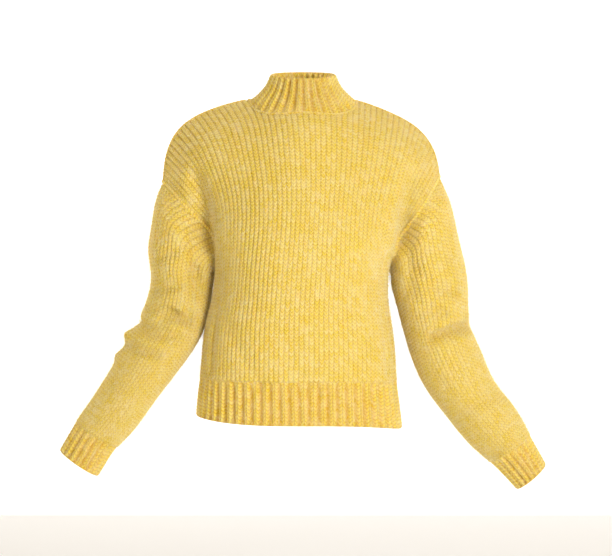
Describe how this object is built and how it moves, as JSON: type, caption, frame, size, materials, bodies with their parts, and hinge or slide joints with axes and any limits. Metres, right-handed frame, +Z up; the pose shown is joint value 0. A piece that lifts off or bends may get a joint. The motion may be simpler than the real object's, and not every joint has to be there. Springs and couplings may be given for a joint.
{
  "type": "mock neck knitted sweater, worn shape with no wearer",
  "caption": "Chunky hip-length pullover with a ribbed mock neck, dropped shoulders and long sleeves, filled out as worn with nobody inside and open at neck, hem and cuffs.",
  "frame": {"origin": "middle of the neckline, level with the shoulder line, where the wearer's neck holds the garment up", "axes": "+Z up, -Y towards the garment's front, +X towards the wearer's left sleeve"},
  "size_m": [0.8373, 0.2664, 0.7307],
  "materials": {
    "stockinette": "brushed melange yarn, matte",
    "ribbing": "brushed melange yarn, matte"
  },
  "bodies": {
    "root": {"front_panel": "stockinette", "back_panel": "stockinette", "right_sleeve": "stockinette", "left_sleeve": "stockinette", "collar": "ribbing", "front_hem_rib": "ribbing", "back_hem_rib": "ribbing", "right_cuff": "ribbing", "left_cuff": "ribbing"}
  },
  "joints": []
}
